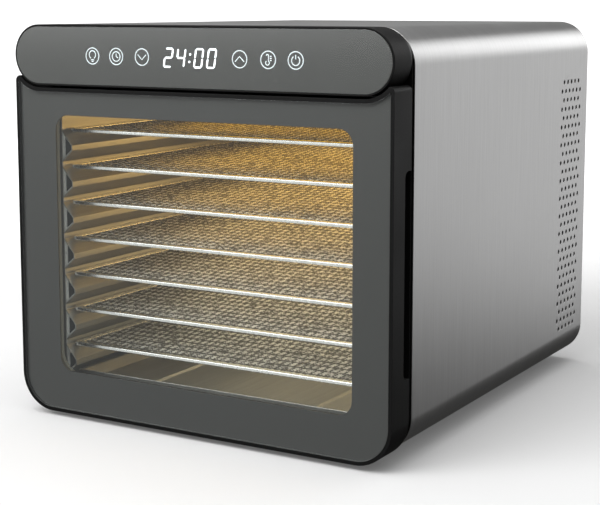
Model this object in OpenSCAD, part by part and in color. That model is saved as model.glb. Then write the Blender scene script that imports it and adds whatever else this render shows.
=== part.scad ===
// Cabinet food dehydrator with a side-hinged window door, seven slide-out trays and a rear fan.
// X runs to the right, Y to the back and Z up. The origin is on the floor, under the middle of the box.

/* [Body] */
// Overall width, across the steel wrap, the door and the control panel
body_w = 340; // [336:1:344]
// Overall height, feet included
body_top = 318; // [316:1:322]
// Overall depth, from the front glass to the raised back grille
body_depth = 410; // [408:1:416]
// Height of the steel case above the floor
case_bottom = 7; // [5:0.5:8]
// Corner radius of the steel case
case_r = 28; // [24:1:30]
// Sheet thickness of the steel case
steel = 0.8; // [0.6:0.1:1]
// Distance from the front glass to the steel case
case_front = 32.4; // [32:0.1:34]
// How far the raised back grille stands behind the steel case
grille_rise = 12; // [8:1:14]

/* [Side vents] */
// Rows of vent holes on each side
vent_rows = 29; // [10:1:29]
// Vent hole diameter
vent_dia = 4; // [2:0.5:5]
// Height between rows
vent_row_pitch = 8; // [6:0.5:8]
// Spacing of the holes along a row
vent_pitch = 9.2; // [7:0.1:10]
// Height of the top row
vent_top = 265; // [250:1:268]
// Distance from the vents' middle to the back edge of the steel
vent_inset = 42; // [38:1:50]

/* [Control panel] */
// Height of the pill-shaped panel
panel_h = 48.2; // [46:0.1:50]
// Depth of the panel housing
panel_d = 26.4; // [24:0.2:27]
// Black rim round the panel glass
panel_rim = 1.7; // [1:0.1:2.5]
// Glass thickness of the panel
panel_glass_t = 2.6; // [2:0.1:3]
// Distances of the touch keys from the panel's middle
key_x = [44, 68.4, 91.4];

/* [Door] */
// Gap between the door and the panel
door_gap = 1.8; // [1.6:0.1:2.5]
// Height of the door's lower edge above the floor
door_bottom = 4; // [3:0.5:5]
// Radius of the door's lower corners
door_r = 30; // [26:1:32]
// Door thickness, front glass included
door_t = 28; // [27:0.1:28]
// Dark rim round the door glass
door_rim = 3; // [2:0.1:3.5]
// Glass thickness of the door
door_glass_t = 3.2; // [2.5:0.1:3.6]
// Half width of the window
window_x = 136.5; // [130:0.5:138]
// Lower edge of the window
window_z0 = 38.5; // [38:0.5:50]
// Upper edge of the window
window_z1 = 246.5; // [240:0.5:247]
// Corner radius of the window
window_r = 12; // [8:1:16]
// How much wider the inner frame opens than the window, on each side
window_flare = 6; // [0:0.5:6.5]
// Lower end of the finger grip
grip_z0 = 66; // [66:1:90]
// Upper end of the finger grip
grip_z1 = 217; // [190:1:218]

/* [Hinge] */
// Distance from the door's left side to the hinge axis
hinge_in = 4; // [4:0.1:4.2]
// Distance from the front glass to the hinge axis
hinge_d = 24; // [23.8:0.1:24]
// Pin radius
pin_r = 2; // [1.8:0.05:2]
// Running clearance round a pin or shaft
running = 0.05; // [0.02:0.01:0.09]

/* [Chamber] */
// Half width between the groove bottoms
chamber_x = 151; // [150.5:0.1:151.5]
// Distance from the front glass to the back baffle
baffle_d = 330; // [328:1:332]
// Height of the chamber's floor
chamber_z0 = 22; // [22:0.5:22.5]
// Height of the chamber's ceiling
chamber_z1 = 257.2; // [257:0.1:258]
// How far the side ridges stand out
ridge = 10; // [8:0.5:10.5]

/* [Trays] */
// Number of trays
trays = 7; // [7:1:7]
// Height of the lowest tray
tray_z0 = 51; // [51:0.5:52]
// Height from one tray to the next
tray_pitch = 30; // [29.5:0.5:30]
// Half width of a tray
tray_x = 149.5; // [149:0.1:149.6]
// Distance from the front glass to the trays
tray_front = 40; // [40:1:50]
// Tray thickness at its rim
tray_t = 3; // [2.5:0.1:3]

/* [Fan] */
// Fan tip radius
fan_r = 80; // [70:1:84]
// Number of blades
blades = 6; // [4:1:9]
// Blade pitch angle
blade_pitch = 28; // [15:1:32]
// Height of the fan's axis
fan_z = 140; // [135:1:145]

/* [Hidden] */

half_w = body_w / 2;
front = -body_depth / 2;
case_back = body_depth - grille_rise;
lip_d = case_back - 6.6;
sheet = 0.6;
base_t = 1;

panel_r = panel_h / 2;
panel_cz = body_top - panel_r;
panel_cx = half_w - panel_r;
door_top = body_top - panel_h - door_gap;

// Finished face depths of the front frame: sealing face, outer step and back of its wall
seal_d = door_t + 0.8;
step_d = door_t + 2.4;
wall_d = case_front + 0.8;
step_in = 8;

// Door rim widths, the depth of the liner's back and the corner radius of the recess round it
rim_side = 10.5;
rim_top = 5;
liner_d = 20;
rim_r = 20;
rim_x = half_w - rim_side;
rim_z0 = door_bottom + rim_side;
rim_z1 = door_top - rim_top;
horn_r = 4.2;
horn_x = half_w - horn_r;

// The opening that the trays pass through
mouth_x = chamber_x + 3;
mouth_z0 = chamber_z0 - 1;
mouth_z1 = chamber_z1 - 1.2;

hinge_x = -half_w + hinge_in;
ear_z = [44, 240];
ear_t = 4;
pin_reach = 14;
latch_x = half_w - 5.1;
latch_z = [48, 236];

shaft_r = 3;
motor_d = baffle_d + 40;
lamp_x = 118;
lamp_z = 238;
probe_x = -104;
probe_z = 226;
gland_x = -126;
gland_z = 44;
gland_bore = 3.6;
foot_x = 122;
foot_d = [72, 352];
cover_screw_at = [[-150, 60], [150, 60], [-150, 265], [150, 265], [-60, 305], [60, 305]];
board_x = 66;
board_d = [190, 300];
board_z = 266;

$fn = 48;

// ---- helpers ----

function arc(cx, cz, r, a0, a1, n = 10) =
    [for (i = [0:n]) let (a = a0 + (a1 - a0) * i / n) [cx + r * cos(a), cz + r * sin(a)]];

function box_outline(x0, x1, z0, z1, r, n = 10) = concat(
    arc(x1 - r, z0 + r, r, -90, 0, n), arc(x1 - r, z1 - r, r, 0, 90, n),
    arc(x0 + r, z1 - r, r, 90, 180, n), arc(x0 + r, z0 + r, r, 180, 270, n));

function case_outline(in) =
    box_outline(-half_w + in, half_w - in, case_bottom + in, body_top - in, max(case_r - in, 3), 16);

function pill_outline(in) = concat(
    arc(panel_cx, panel_cz, panel_r - in, -90, 90, 28),
    arc(-panel_cx, panel_cz, panel_r - in, 90, 270, 28));

function window_outline(grow) =
    box_outline(-window_x - grow, window_x + grow, window_z0 - grow, window_z1 + grow, window_r + grow);

// Half of the door's outline, from the bottom corner up to the horn that hugs the panel's round end
function door_half(in) =
    let (hug = panel_r + door_gap + in,
        a = -acos((horn_x - panel_cx) / hug),
        tip_z = panel_cz + hug * sin(a),
        tip_r = horn_r - in)
    concat(arc(half_w - door_r, door_bottom + door_r, door_r - in, -90, 0, 12),
        arc(horn_x, tip_z - tip_r, tip_r, 0, 75, 5),
        arc(panel_cx, panel_cz, hug, a, -90, 12));

function mirrored(points) =
    [for (i = [len(points) - 1:-1:0]) [-points[i][0], points[i][1]]];

function door_outline(in) = concat(door_half(in), mirrored(door_half(in)));

function tray_z(n) = tray_z0 + (n - 1) * tray_pitch;

// Solid with a given XZ outline between two depths behind the front glass
module plate(points, d0, d1) {
    translate([0, front + d1, 0]) rotate([90, 0, 0]) linear_extrude(d1 - d0) polygon(points);
}

module ring(outer, inner, d0, d1) {
    difference() {
        plate(outer, d0, d1);
        plate(inner, d0 - 1, d1 + 1);
    }
}

module block(x0, x1, d0, d1, z0, z1) {
    translate([x0, front + d0, z0]) cube([x1 - x0, d1 - d0, z1 - z0]);
}

module rod_x(d, z, r, x0, x1) {
    translate([x0, front + d, z]) rotate([0, 90, 0]) cylinder(r = r, h = x1 - x0);
}

module rod_y(x, z, r, d0, d1) {
    translate([x, front + d1, z]) rotate([90, 0, 0]) cylinder(r = r, h = d1 - d0);
}

module rod_z(x, d, r, z0, z1) {
    translate([x, front + d, z0]) cylinder(r = r, h = z1 - z0);
}

// Machine screw along +Y whose head starts at depth d
module screw_y(x, z, d, r, head_r, reach) {
    difference() {
        union() {
            rod_y(x, z, head_r, d, d + head_r * 0.6);
            rod_y(x, z, r, d - reach, d + 0.1);
        }
        block(x - head_r * 0.6, x + head_r * 0.6, d + head_r * 0.3, d + head_r, z - 0.4, z + 0.4);
        block(x - 0.4, x + 0.4, d + head_r * 0.3, d + head_r, z - head_r * 0.6, z + head_r * 0.6);
    }
}

// ---- case ----

module vent_holes() {
    for (row = [0:vent_rows - 1]) {
        across = row % 2 == 0 ? 5 : 6;
        for (i = [0:across - 1])
            rod_x(case_back - vent_inset + (i - (across - 1) / 2) * vent_pitch,
                vent_top - row * vent_row_pitch, vent_dia / 2, -half_w - 1, half_w + 1);
    }
}

base_x = 135;

module outer_wrap() {
    color([0.72, 0.72, 0.73]) difference() {
        union() {
            ring(case_outline(0), case_outline(steel), case_front, case_back);
            ring(case_outline(steel * 0.5), case_outline(13), lip_d, lip_d + 1);
        }
        block(-base_x, base_x, case_front - 1, case_back + 1, case_bottom - 1, case_bottom + 1.5);
        vent_holes();
        for (at = cover_screw_at) rod_y(at[0], at[1], 2, lip_d - 1, lip_d + 2);
    }
}

module base_plate() {
    color([0.35, 0.35, 0.36]) difference() {
        block(-base_x + 0.2, base_x - 0.2, case_front + 0.6, lip_d - 0.2, case_bottom, case_bottom + base_t);
        for (x = [-foot_x, foot_x], d = foot_d) rod_z(x, d, 2, case_bottom - 1, case_bottom + 2);
        for (x = [-50:10:50], d = [120:20:280])
            rod_z(x, d, 2.5, case_bottom - 1, case_bottom + 2);
    }
}

module feet() {
    color([0.08, 0.08, 0.08])
    for (x = [-foot_x, foot_x], d = foot_d)
        translate([x, front + d, 0]) difference() {
            rotate_extrude() polygon([[0, 0], [9.5, 0], [10.5, 1], [12, case_bottom], [0, case_bottom]]);
            translate([0, 0, -1]) cylinder(r = 4.2, h = 4);
            cylinder(r = 2, h = 20);
        }
}

grille_x = 112;
grille_z = [40, 240];
grille_r = 18;
slots = 12;

module rear_cover() {
    plate_d = lip_d + 1;
    color([0.12, 0.12, 0.12]) difference() {
        union() {
            plate(case_outline(steel + 0.3), plate_d, plate_d + 2);
            plate(box_outline(-grille_x, grille_x, grille_z[0], grille_z[1], grille_r),
                plate_d, body_depth);
        }
        plate(box_outline(-grille_x + 2, grille_x - 2, grille_z[0] + 2, grille_z[1] - 2, grille_r - 2),
            plate_d - 1, body_depth - 2);
        for (i = [0:slots - 1]) {
            z = grille_z[0] + 24 + i * (grille_z[1] - grille_z[0] - 48) / (slots - 1);
            plate(box_outline(-84, -4, z - 2.5, z + 2.5, 2.4, 4), body_depth - 4, body_depth + 1);
            plate(box_outline(4, 84, z - 2.5, z + 2.5, 2.4, 4), body_depth - 4, body_depth + 1);
        }
        rod_y(gland_x, gland_z, 8, plate_d - 1, plate_d + 4);
        for (at = cover_screw_at) rod_y(at[0], at[1], 2.2, plate_d - 1, plate_d + 4);
    }
}

module cord_gland() {
    plate_d = lip_d + 1;
    color([0.05, 0.05, 0.05]) difference() {
        union() {
            rod_y(gland_x, gland_z, 11, plate_d + 2, plate_d + 5);
            rod_y(gland_x, gland_z, 8, plate_d - 8, plate_d + 3);
            translate([gland_x, front + plate_d, gland_z]) rotate([90, 0, 0])
                cylinder(r = 11, h = 4, $fn = 6);
        }
        rod_y(gland_x, gland_z, gland_bore, plate_d - 9, plate_d + 6);
    }
}

module cover_screws() {
    plate_d = lip_d + 1;
    color([0.6, 0.6, 0.6]) {
        for (at = cover_screw_at) screw_y(at[0], at[1], plate_d + 2, 2, 3.8, 9);
        for (x = [-foot_x, foot_x], d = foot_d) {
            rod_z(x, d, 4, 1.4, 3);
            rod_z(x, d, 2, 2.9, 14);
        }
    }
}

// ---- front frame and control panel ----

module front_frame() {
    color([0.05, 0.05, 0.05]) difference() {
        union() {
            plate(case_outline(1.5), step_d, wall_d);
            ring(case_outline(1.5), case_outline(3.5), step_d, wall_d + 12);
            plate(box_outline(-half_w + step_in, half_w - step_in,
                case_bottom + step_in, body_top - step_in, case_r - step_in), seal_d, step_d + 1);
            plate(pill_outline(1.5), panel_d, step_d + 1);
        }
        plate(box_outline(-mouth_x, mouth_x, mouth_z0, mouth_z1, 5), panel_d - 2, wall_d + 14);
        plate(box_outline(-60, 60, panel_cz - 12, panel_cz + 12, 5), panel_d - 2, wall_d + 14);
        for (z = ear_z) {
            block(-half_w - 1, hinge_x + 4.2, panel_d - 2, wall_d + 8, z - ear_t / 2 - 0.3, z + ear_t / 2 + 0.3);
            for (s = [-1, 1]) rod_y(hinge_x + 3, z + s * 9, 1.2, seal_d - 1, wall_d + 1);
        }
    }
}

module panel_housing() {
    color([0.11, 0.11, 0.11]) difference() {
        union() {
            ring(pill_outline(0), pill_outline(3.4), 0.4, panel_d);
            plate(pill_outline(3), panel_d - 2.4, panel_d);
            for (x = [-112, 112], z = [panel_cz - 11, panel_cz + 11]) rod_y(x, z, 3, 13.6, panel_d - 1);
        }
        plate(pill_outline(panel_rim - 0.1), -1, panel_glass_t);
        plate(box_outline(-60, 60, panel_cz - 12, panel_cz + 12, 5), panel_d - 4, panel_d + 1);
    }
}

module panel_glass() {
    color([0.3, 0.3, 0.3]) plate(pill_outline(panel_rim), 0, panel_glass_t);
}

module display_board() {
    color([0.1, 0.35, 0.2])
        plate(box_outline(-122, 122, panel_cz - 16, panel_cz + 16, 4), 12, 13.6);
}

module display_module() {
    color([0.9, 0.9, 0.9])
        plate(box_outline(-28, 28, panel_cz - 10, panel_cz + 10, 1.5, 4), panel_glass_t + 0.4, 12);
}

module touch_pads() {
    color([0.8, 0.7, 0.4])
        for (x = key_x, s = [-1, 1]) difference() {
            rod_y(s * x, panel_cz, 5, panel_glass_t + 0.2, 12);
            rod_y(s * x, panel_cz, 3.6, panel_glass_t + 1.4, 13);
        }
}

module power_board() {
    color([0.1, 0.35, 0.2]) difference() {
        block(-board_x, board_x, board_d[0], board_d[1], board_z, board_z + 1.6);
        for (x = [-board_x + 6, board_x - 6], d = [board_d[0] + 6, board_d[1] - 6])
            rod_z(x, d, 1.6, board_z - 1, board_z + 3);
    }
}

module board_components() {
    top = board_z + 1.6;
    color([0.2, 0.2, 0.25]) {
        block(-50, -14, 206, 242, top, top + 28);
        block(0, 20, 210, 226, top, top + 16);
        block(26, 46, 210, 226, top, top + 16);
        block(-44, -8, 268, 276, top, top + 24);
        rod_z(10, 256, 8, top, top + 22);
        rod_z(30, 256, 6, top, top + 18);
        rod_z(44, 274, 5, top, top + 12);
    }
}

module board_standoffs() {
    color([0.8, 0.8, 0.75])
        for (x = [-board_x + 6, board_x - 6], d = [board_d[0] + 6, board_d[1] - 6]) difference() {
            rod_z(x, d, 4, chamber_z1 + sheet, board_z);
            rod_z(x, d, 1.5, chamber_z1 + 3, board_z + 1);
        }
}

module small_screws() {
    color([0.7, 0.7, 0.7]) {
        for (x = [-board_x + 6, board_x - 6], d = [board_d[0] + 6, board_d[1] - 6]) {
            rod_z(x, d, 2.8, board_z + 1.6, board_z + 3.4);
            rod_z(x, d, 1.5, chamber_z1 + 4, board_z + 1.7);
        }
        for (z = ear_z, s = [-1, 1]) {
            rod_y(hinge_x + 3, z + s * 9, 2.4, wall_d + 1.8, wall_d + 3.4);
            rod_y(hinge_x + 3, z + s * 9, 1.2, seal_d + 1.8, wall_d + 2);
        }
    }
}

// ---- hinge and latch ----

module hinge_brackets() {
    color([0.6, 0.6, 0.62])
    for (z = ear_z) difference() {
        union() {
            rod_z(hinge_x, hinge_d, 3.5, z - ear_t / 2, z + ear_t / 2);
            block(hinge_x - 3, hinge_x + 3.5, hinge_d, wall_d + 1.8, z - ear_t / 2, z + ear_t / 2);
            block(hinge_x + 0.2, hinge_x + 5.7, wall_d, wall_d + 1.8, z - 14, z + 14);
        }
        rod_z(hinge_x, hinge_d, pin_r, z - ear_t, z + ear_t);
        for (s = [-1, 1]) rod_y(hinge_x + 3, z + s * 9, 1.2, wall_d - 1, wall_d + 4);
    }
}

module hinge_pins() {
    color([0.8, 0.8, 0.8])
        for (z = ear_z) rod_z(hinge_x, hinge_d, pin_r, z - pin_reach, z + pin_reach);
}

module latch_strikes() {
    color([0.7, 0.7, 0.7])
        for (z = latch_z) rod_y(latch_x, z, 2.8, door_t + 0.5, step_d);
}

module latch_magnets() {
    color([0.4, 0.4, 0.42])
        for (z = latch_z) rod_y(latch_x, z, 4, door_t - 10, door_t - 0.1);
}

// ---- door ----

module grip_notch() {
    d = 18.4;
    r = 5;
    points = concat([[door_t + 2, grip_z0]], arc(d + r, grip_z0 + r, r, 270, 180, 8),
        arc(d + r, grip_z1 - r, r, 180, 90, 8), [[door_t + 2, grip_z1]]);
    translate([half_w - 8.5, front, 0]) rotate([90, 0, 90]) linear_extrude(12) polygon(points);
}

// Room behind the left horn, so that it clears the panel's round end as the door turns
module horn_relief() {
    block(-half_w - 1, hinge_x + 14, hinge_d - 4, door_t + 1, door_top, door_top + 12);
}

module door_frame() {
    color([0.12, 0.12, 0.12]) difference() {
        plate(door_outline(0), 0.4, door_t);
        plate(door_outline(door_rim - 0.1), -1, door_glass_t);
        plate(box_outline(-rim_x, rim_x, rim_z0, rim_z1, rim_r), 6, door_t + 1);
        plate(window_outline(0), -1, 8);
        grip_notch();
        horn_relief();
        for (z = ear_z) {
            block(-half_w - 1, hinge_x + 6.6, liner_d - 1.5, door_t + 1,
                z - ear_t / 2 - 0.5, z + ear_t / 2 + 0.5);
            rod_z(hinge_x, hinge_d, pin_r + running, z - pin_reach - 1, z + pin_reach + 1);
        }
        for (z = latch_z) rod_y(latch_x, z, 4, door_t - 10, door_t + 1);
    }
}

module door_glass() {
    color([0.35, 0.35, 0.35]) plate(door_outline(door_rim), 0, door_glass_t);
}

module door_liner() {
    color([0.1, 0.1, 0.1]) difference() {
        union() {
            plate(box_outline(-rim_x + 0.2, rim_x - 0.2, rim_z0 + 0.2, rim_z1 - 0.2, rim_r - 0.2),
                liner_d - 2.4, liner_d);
            plate(window_outline(window_flare + 2.4), 6, liner_d - 1);
        }
        plate(window_outline(window_flare), 4, liner_d + 1);
        for (x = [-148, 148], z = [40, 145, 250]) rod_y(x, z, 1.7, liner_d - 4, liner_d + 1);
    }
}

module liner_screws() {
    color([0.6, 0.6, 0.6])
        for (x = [-148, 148], z = [40, 145, 250]) screw_y(x, z, liner_d, 1.6, 3, 13.6);
}

module door_gasket() {
    in = 0.6;
    color([0.2, 0.2, 0.2])
        ring(box_outline(-rim_x + in, rim_x - in, rim_z0 + in, rim_z1 - in, rim_r - in),
            box_outline(-mouth_x - 0.8, mouth_x + 0.8, mouth_z0 - 1.6, mouth_z1 + 1.6, 10),
            liner_d, door_t + 0.2);
}

// ---- chamber ----

wall_t = 0.8;

// Inner face of a side wall from the floor up, ridge by ridge, as distances from the groove bottoms
function wall_face() = concat([[chamber_x, chamber_z0]],
    [for (n = [1:trays], p = [[0, -25.6], [ridge, -16.6], [ridge, -12], [0, 0]])
        [chamber_x - p[0], tray_z(n) + p[1]]],
    [[chamber_x, chamber_z1]]);

function wall_section() =
    let (face = wall_face())
    concat(face, [for (i = [len(face) - 1:-1:0]) [face[i][0] + wall_t, face[i][1]]]);

module chamber_wall() {
    plate(wall_section(), wall_d + 0.2, baffle_d);
    block(chamber_x, chamber_x + 9, wall_d + 0.2, wall_d + 1, chamber_z0, chamber_z1);
}

module chamber_right_wall() {
    color([0.6, 0.6, 0.58]) chamber_wall();
}

module chamber_left_wall() {
    color([0.6, 0.6, 0.58]) mirror([1, 0, 0]) chamber_wall();
}

module chamber_top() {
    color([0.6, 0.6, 0.58])
        block(-chamber_x - wall_t, chamber_x + wall_t, wall_d + 0.2, baffle_d, chamber_z1, chamber_z1 + sheet);
}

module chamber_floor() {
    color([0.6, 0.6, 0.58]) {
        block(-chamber_x - wall_t, chamber_x + wall_t, wall_d + 0.2, baffle_d, chamber_z0 - sheet, chamber_z0);
        block(-base_x, base_x, wall_d + 0.2, wall_d + 1, case_bottom + 4, chamber_z0);
    }
}

module chamber_baffle() {
    color([0.62, 0.62, 0.6]) difference() {
        block(-chamber_x - wall_t, chamber_x + wall_t, baffle_d, baffle_d + 1, chamber_z0 - sheet, chamber_z1 + sheet);
        rod_y(0, fan_z, 3, baffle_d - 1, baffle_d + 2);
        for (r = [22:13:74], i = [0:r / 3.5 - 1]) {
            a = i * 360 / floor(r / 3.5);
            rod_y(r * cos(a), fan_z + r * sin(a), 3, baffle_d - 1, baffle_d + 2);
        }
        rod_y(lamp_x, lamp_z, 13, baffle_d - 1, baffle_d + 2);
        rod_y(probe_x, probe_z, 2.5, baffle_d - 1, baffle_d + 2);
    }
}

module chamber_supports() {
    color([0.5, 0.5, 0.5])
    for (x = [-110, 110], d = [60, 290]) difference() {
        block(x - 10, x + 10, d, d + 24, case_bottom + base_t, chamber_z0 - sheet);
        block(x - 9, x + 9, d - 1, d + 25, case_bottom - 1, chamber_z0 - sheet - 1);
    }
}

module lamp_holder() {
    color([0.85, 0.85, 0.8]) difference() {
        union() {
            rod_y(lamp_x, lamp_z, 16, baffle_d + 1, baffle_d + 4);
            rod_y(lamp_x, lamp_z, 14.5, baffle_d + 1, baffle_d + 34);
        }
        rod_y(lamp_x, lamp_z, 13, baffle_d, baffle_d + 20);
    }
}

module lamp_bulb() {
    color([1, 0.95, 0.7]) {
        rod_y(lamp_x, lamp_z, 7, baffle_d + 12, baffle_d + 20);
        translate([lamp_x, front + baffle_d + 12, lamp_z]) sphere(r = 8);
    }
}

module lamp_lens() {
    color([1, 0.95, 0.8]) {
        rod_y(lamp_x, lamp_z, 15, baffle_d - 2, baffle_d);
        rod_y(lamp_x, lamp_z, 12.9, baffle_d - 0.1, baffle_d + 1.5);
    }
}

module temperature_probe() {
    color([0.75, 0.75, 0.75]) {
        rod_y(probe_x, probe_z, 2.5, baffle_d - 3.6, baffle_d + 18);
        rod_y(probe_x, probe_z, 5, baffle_d + 1, baffle_d + 3);
    }
}

module thermal_cutout() {
    z = chamber_z1 + sheet;
    color([0.3, 0.3, 0.3]) {
        rod_z(100, 296, 9, z, z + 5);
        block(90, 92, 293, 299, z + 3, z + 11);
        block(108, 110, 293, 299, z + 3, z + 11);
        block(91, 109, 292, 300, z + 3, z + 6);
    }
}

module terminal_block() {
    z = case_bottom + base_t;
    color([0.85, 0.85, 0.8]) difference() {
        block(40, 82, 350, 368, z, z + 16);
        for (x = [47, 61, 75]) {
            rod_z(x, 359, 3, z + 6, z + 20);
            rod_y(x, z + 6, 2, 349, 369);
        }
    }
}

// ---- fan and heater ----

heater_r = 98;

module heater_element() {
    color([0.35, 0.32, 0.3])
    for (d = [baffle_d + 16, baffle_d + 28]) {
        translate([0, front + d, fan_z]) rotate([90, 0, 0])
            rotate_extrude($fn = 96) translate([heater_r, 0]) circle(r = 3.2);
    }
}

module heater_clips() {
    color([0.7, 0.7, 0.65])
    for (a = [45:90:315]) {
        translate([0, front + baffle_d + 1, fan_z]) rotate([0, -a, 0])
        difference() {
            translate([heater_r - 8, 0, -6]) cube([16, 33, 12]);
            translate([heater_r - 5, -1, -7]) cube([10, 20, 14]);
            for (y = [15, 27]) translate([heater_r, y, -8]) cylinder(r = 3.6, h = 16);
        }
    }
}

module motor_bracket() {
    color([0.6, 0.6, 0.6]) difference() {
        union() {
            block(-130, 130, motor_d - 2, motor_d, fan_z - 14, fan_z + 14);
            for (s = [-1, 1]) {
                block(s * 129 - 1, s * 129 + 1, baffle_d + 1, motor_d, fan_z - 14, fan_z + 14);
                block(s * 135 - 7, s * 135 + 7, baffle_d + 1, baffle_d + 3, fan_z - 14, fan_z + 14);
            }
        }
        rod_y(0, fan_z, 9, motor_d - 3, motor_d + 1);
    }
}

module fan_motor() {
    color([0.4, 0.4, 0.42]) difference() {
        union() {
            rod_y(0, fan_z, 28, motor_d, motor_d + 18);
            rod_y(0, fan_z, 8.8, motor_d - 6, motor_d + 1);
            block(-34, 34, motor_d + 3, motor_d + 14, fan_z - 20, fan_z + 20);
        }
        rod_y(0, fan_z, shaft_r + running, motor_d - 7, motor_d + 16);
    }
}

module fan_shaft() {
    color([0.8, 0.8, 0.8]) rod_y(0, fan_z, shaft_r, baffle_d + 6, motor_d + 15.5);
}

module fan_blade() {
    hub_d = [baffle_d + 12, baffle_d + 26];
    color([0.75, 0.75, 0.75]) difference() {
        intersection() {
            rod_y(0, fan_z, fan_r, baffle_d + 8, baffle_d + 31);
            union() {
                rod_y(0, fan_z, 14, hub_d[0], hub_d[1]);
                for (i = [0:blades - 1])
                    translate([0, front + baffle_d + 19, fan_z]) rotate([0, i * 360 / blades, 0])
                        rotate([blade_pitch, 0, 0])
                            translate([8, -0.75, -17]) cube([fan_r, 1.5, 34]);
            }
        }
        rod_y(0, fan_z, shaft_r, baffle_d, motor_d);
    }
}

module fan_nut() {
    color([0.7, 0.7, 0.7]) difference() {
        translate([0, front + baffle_d + 12, fan_z]) rotate([90, 0, 0]) cylinder(r = 6, h = 4, $fn = 6);
        rod_y(0, fan_z, shaft_r, baffle_d, motor_d);
    }
}

// ---- trays ----

tray_back = baffle_d - 6;
tray_rim = 5.5;
tray_corner = 5;
mesh_t = 0.35;

// Rounded plate in the XY plane
module flat_plate(x, d0, d1, r, z0, z1) {
    translate([0, 0, z0]) linear_extrude(z1 - z0)
        polygon(box_outline(-x, x, front + d0, front + d1, r, 6));
}

module tray_frame(n) {
    z = tray_z(n);
    color([0.8, 0.8, 0.78]) {
        difference() {
            flat_plate(tray_x, tray_front, tray_back, tray_corner, z - tray_t / 2, z + tray_t / 2);
            flat_plate(tray_x - tray_rim, tray_front + tray_rim, tray_back - tray_rim, 2, z - 9, z + 9);
        }
        for (x = [-50, 50])
            block(x - 2, x + 2, tray_front + tray_rim, tray_back - tray_rim, z - tray_t / 2, z - 0.1);
    }
}

module tray_mesh(n) {
    z = tray_z(n);
    color([0.45, 0.45, 0.42])
        flat_plate(tray_x - tray_rim, tray_front + tray_rim, tray_back - tray_rim, 2, z - 0.1, z + mesh_t - 0.1);
}

pan_x = 142;
pan_slope = 8;
pan_lip = 30.4;
pan_floor = 23.8;
bead_x = 76;
pan_t = 0.8;

function pan_half() = [[0, pan_floor], [bead_x - 3, pan_floor], [bead_x - 1.4, pan_floor + 1.6],
    [bead_x + 1.4, pan_floor + 1.6], [bead_x + 3, pan_floor],
    [pan_x - 4 - pan_slope, pan_floor], [pan_x - 4, pan_lip], [pan_x, pan_lip]];

module drip_tray() {
    right = pan_half();
    top = concat(mirrored(right), [for (i = [1:len(right) - 1]) right[i]]);
    section = concat(top, [for (i = [len(top) - 1:-1:0]) [top[i][0], top[i][1] - pan_t]]);
    foot = pan_x - 4 - pan_slope;
    wall = [[-foot, pan_floor - pan_t], [foot, pan_floor - pan_t], [pan_x - 4, pan_lip], [4 - pan_x, pan_lip]];
    color([0.62, 0.62, 0.6]) {
        plate(section, tray_front - 2, tray_back);
        plate(wall, tray_front - 2, tray_front - 1);
        plate(wall, tray_back - 1, tray_back);
    }
}

outer_wrap();
base_plate();
rear_cover();
front_frame();
panel_housing();
panel_glass();
display_board();
display_module();
touch_pads();
power_board();
board_components();
board_standoffs();
small_screws();
cover_screws();
chamber_left_wall();
chamber_right_wall();
chamber_top();
chamber_floor();
chamber_baffle();
chamber_supports();
heater_element();
heater_clips();
fan_motor();
motor_bracket();
thermal_cutout();
temperature_probe();
lamp_holder();
lamp_bulb();
lamp_lens();
terminal_block();
cord_gland();
feet();
hinge_brackets();
hinge_pins();
latch_strikes();
door_frame();
door_glass();
door_liner();
door_gasket();
latch_magnets();
liner_screws();
fan_blade();
fan_shaft();
fan_nut();
tray_frame(1);  // tray_1_frame
tray_mesh(1);  // tray_1_mesh
tray_frame(2);  // tray_2_frame
tray_mesh(2);  // tray_2_mesh
tray_frame(3);  // tray_3_frame
tray_mesh(3);  // tray_3_mesh
tray_frame(4);  // tray_4_frame
tray_mesh(4);  // tray_4_mesh
tray_frame(5);  // tray_5_frame
tray_mesh(5);  // tray_5_mesh
tray_frame(6);  // tray_6_frame
tray_mesh(6);  // tray_6_mesh
tray_frame(7);  // tray_7_frame
tray_mesh(7);  // tray_7_mesh
drip_tray();
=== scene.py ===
import math
import bmesh
import bpy
from mathutils import Matrix, Vector


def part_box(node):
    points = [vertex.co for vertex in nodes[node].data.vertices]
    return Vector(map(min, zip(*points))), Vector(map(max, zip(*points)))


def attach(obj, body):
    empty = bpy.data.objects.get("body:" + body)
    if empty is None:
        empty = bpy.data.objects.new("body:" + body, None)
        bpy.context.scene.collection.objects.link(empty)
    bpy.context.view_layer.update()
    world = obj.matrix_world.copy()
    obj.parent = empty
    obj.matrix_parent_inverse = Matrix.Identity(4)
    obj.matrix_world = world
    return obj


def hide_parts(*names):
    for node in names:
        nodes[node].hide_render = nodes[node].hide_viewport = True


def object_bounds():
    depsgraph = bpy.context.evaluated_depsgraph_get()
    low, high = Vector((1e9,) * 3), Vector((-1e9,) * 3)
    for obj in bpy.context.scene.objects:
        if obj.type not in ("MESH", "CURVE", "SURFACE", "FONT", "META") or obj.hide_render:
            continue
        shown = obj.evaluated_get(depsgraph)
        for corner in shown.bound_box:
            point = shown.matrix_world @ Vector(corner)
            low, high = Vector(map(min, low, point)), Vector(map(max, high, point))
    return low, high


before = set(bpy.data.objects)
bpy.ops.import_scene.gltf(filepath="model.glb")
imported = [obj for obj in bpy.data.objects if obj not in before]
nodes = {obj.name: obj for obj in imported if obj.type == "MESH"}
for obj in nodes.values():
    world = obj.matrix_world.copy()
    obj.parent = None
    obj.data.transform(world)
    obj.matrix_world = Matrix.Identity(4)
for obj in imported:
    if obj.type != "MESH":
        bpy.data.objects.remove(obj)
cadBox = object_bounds()
mm = 0.001
frontY = cadBox[0][1]                       # plane of the front glass

# ---- camera, studio and floor ----

cameraSetup = {
    "place": (0.6075, -1.0816, 0.3323), "yaw": 30.31, "pitch": 7.69,
    "sensor": 36, "lens": 85.53, "shiftY": -0.09, "clip": 0.02,
}


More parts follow.
